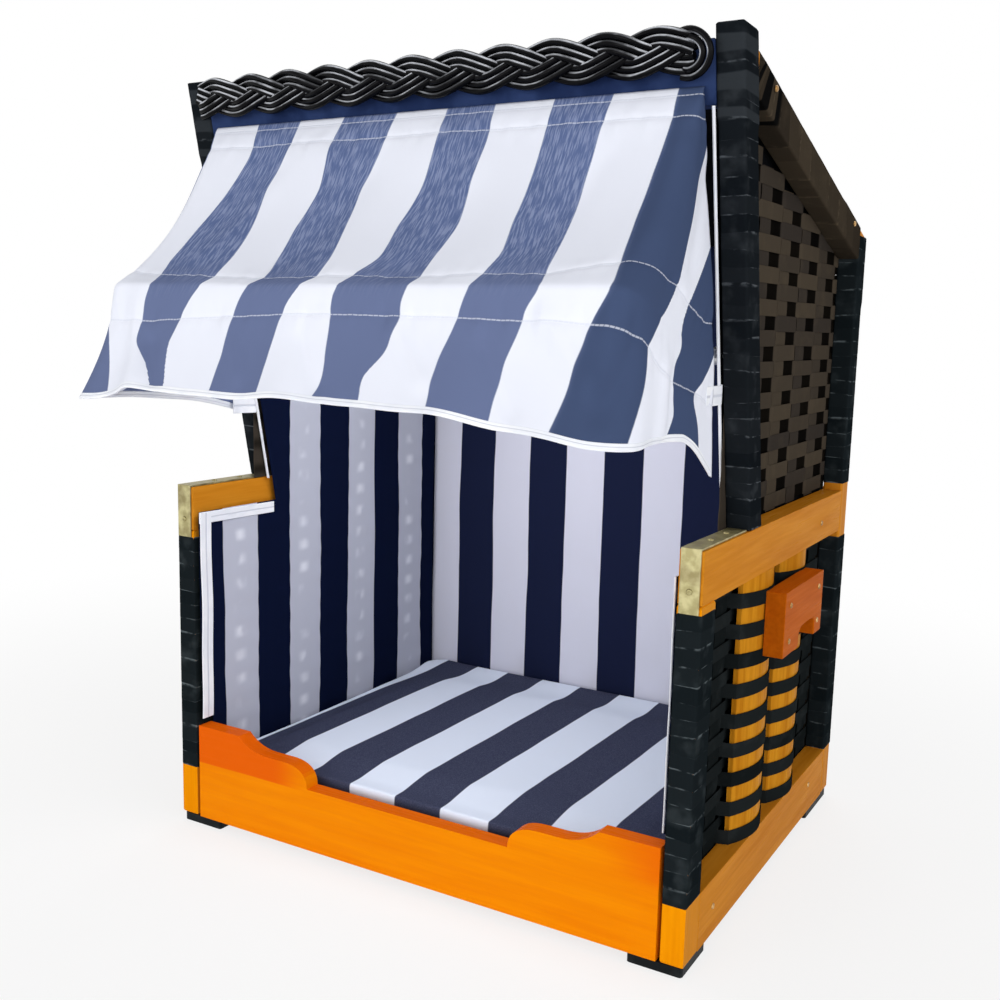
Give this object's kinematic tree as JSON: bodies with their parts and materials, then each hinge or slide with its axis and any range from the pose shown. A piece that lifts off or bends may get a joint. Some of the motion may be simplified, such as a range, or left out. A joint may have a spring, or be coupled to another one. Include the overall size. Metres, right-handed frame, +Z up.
{
  "type": "dog beach chair",
  "caption": "Hooded wicker beach chair for a dog: timber side frames, woven panels, striped lining and seat cushion, braided trim, carry handles and a cloth awning on a hinged bow.",
  "frame": {"origin": "centre of the bounding box in plan, on the plane under the feet", "axes": "+Z up, +X to the right of someone facing the chair, +Y from the open front to the back"},
  "size_m": [0.6406, 0.6494, 0.805],
  "materials": {
    "stained_timber": "satin varnish over orange-brown stain",
    "orange_board": "satin varnish over bright orange stain",
    "honey_slat": "satin varnish over honey stain",
    "red_handle": "satin varnish over red-orange stain",
    "plywood": "raw plywood",
    "black_wrap": "wound flat strip, satin",
    "dark_weave": "woven flat strip",
    "navy_cloth": "navy and white striped lining cloth",
    "striped_cloth": "navy and white striped awning and cushion cloth",
    "white_tape": "white woven tape",
    "black_braid": "glossy round cord",
    "black_foot": "moulded, satin",
    "yellow_zinc": "yellow passivated zinc",
    "bright_steel": "zinc plated wire and screws"
  },
  "bodies": {
    "frame": {"front_post_left": "stained_timber", "front_post_right": "stained_timber", "rear_post_left": "stained_timber", "rear_post_right": "stained_timber", "armrest_left": "stained_timber", "armrest_right": "stained_timber", "base_rail_left": "stained_timber", "base_rail_right": "stained_timber", "base_rail_rear": "stained_timber", "back_mid_rail": "stained_timber", "hood_rear_top_rail": "stained_timber", "hood_front_post_left": "stained_timber", "hood_front_post_right": "stained_timber", "roof_rail_left": "stained_timber", "roof_rail_right": "stained_timber", "hood_front_top_rail": "navy_cloth", "front_post_wrap_left": "black_wrap", "front_post_wrap_right": "black_wrap", "rear_post_lower_wrap_left": "black_wrap", "rear_post_lower_wrap_right": "black_wrap", "rear_post_upper_wrap_left": "black_wrap", "rear_post_upper_wrap_right": "black_wrap", "hood_front_post_wrap_left": "black_wrap", "hood_front_post_wrap_right": "black_wrap", "roof_rail_wrap_left": "black_wrap", "roof_rail_wrap_right": "black_wrap", "front_board": "orange_board", "front_foot_left": "black_foot", "front_foot_right": "black_foot", "rear_foot_left": "black_foot", "rear_foot_right": "black_foot", "seat_board": "plywood", "seat_bearer_left": "stained_timber", "seat_bearer_right": "stained_timber", "lower_side_weave_left": "dark_weave", "lower_side_weave_right": "dark_weave", "hood_side_weave_left": "dark_weave", "hood_side_weave_right": "dark_weave", "back_weave": "dark_weave", "roof_weave": "dark_weave", "side_lining_left": "navy_cloth", "side_lining_right": "navy_cloth", "back_lining": "navy_cloth", "roof_lining": "navy_cloth", "side_slat_front_left": "honey_slat", "side_slat_front_right": "honey_slat", "side_slat_rear_left": "honey_slat", "side_slat_rear_right": "honey_slat", "carry_handle_left": "red_handle", "carry_handle_right": "red_handle", "armrest_plate_left": "yellow_zinc", "armrest_plate_right": "yellow_zinc", "hood_braid": "black_braid", "awning_pivot_left": "bright_steel", "awning_pivot_right": "bright_steel", "awning_cloth": "striped_cloth", "awning_strap_left": "white_tape", "awning_strap_right": "white_tape"},
    "awning_bow": {"awning_bow": "bright_steel"},
    "cushion": {"seat_cushion": "striped_cloth"}
  },
  "joints": [
    {"name": "awning_tilt", "type": "hinge", "parent": "frame", "child": "awning_bow", "pos_m": [0, -0.06179, 0.54], "axis": [-1, 0, 0], "range_deg": [0, 45], "deforming": ["awning_cloth", "awning_strap_left", "awning_strap_right"]},
    {"name": "cushion_lift", "type": "slide", "parent": "frame", "child": "cushion", "axis": [0, 0, 1], "range_m": [0, 0.12]}
  ]
}
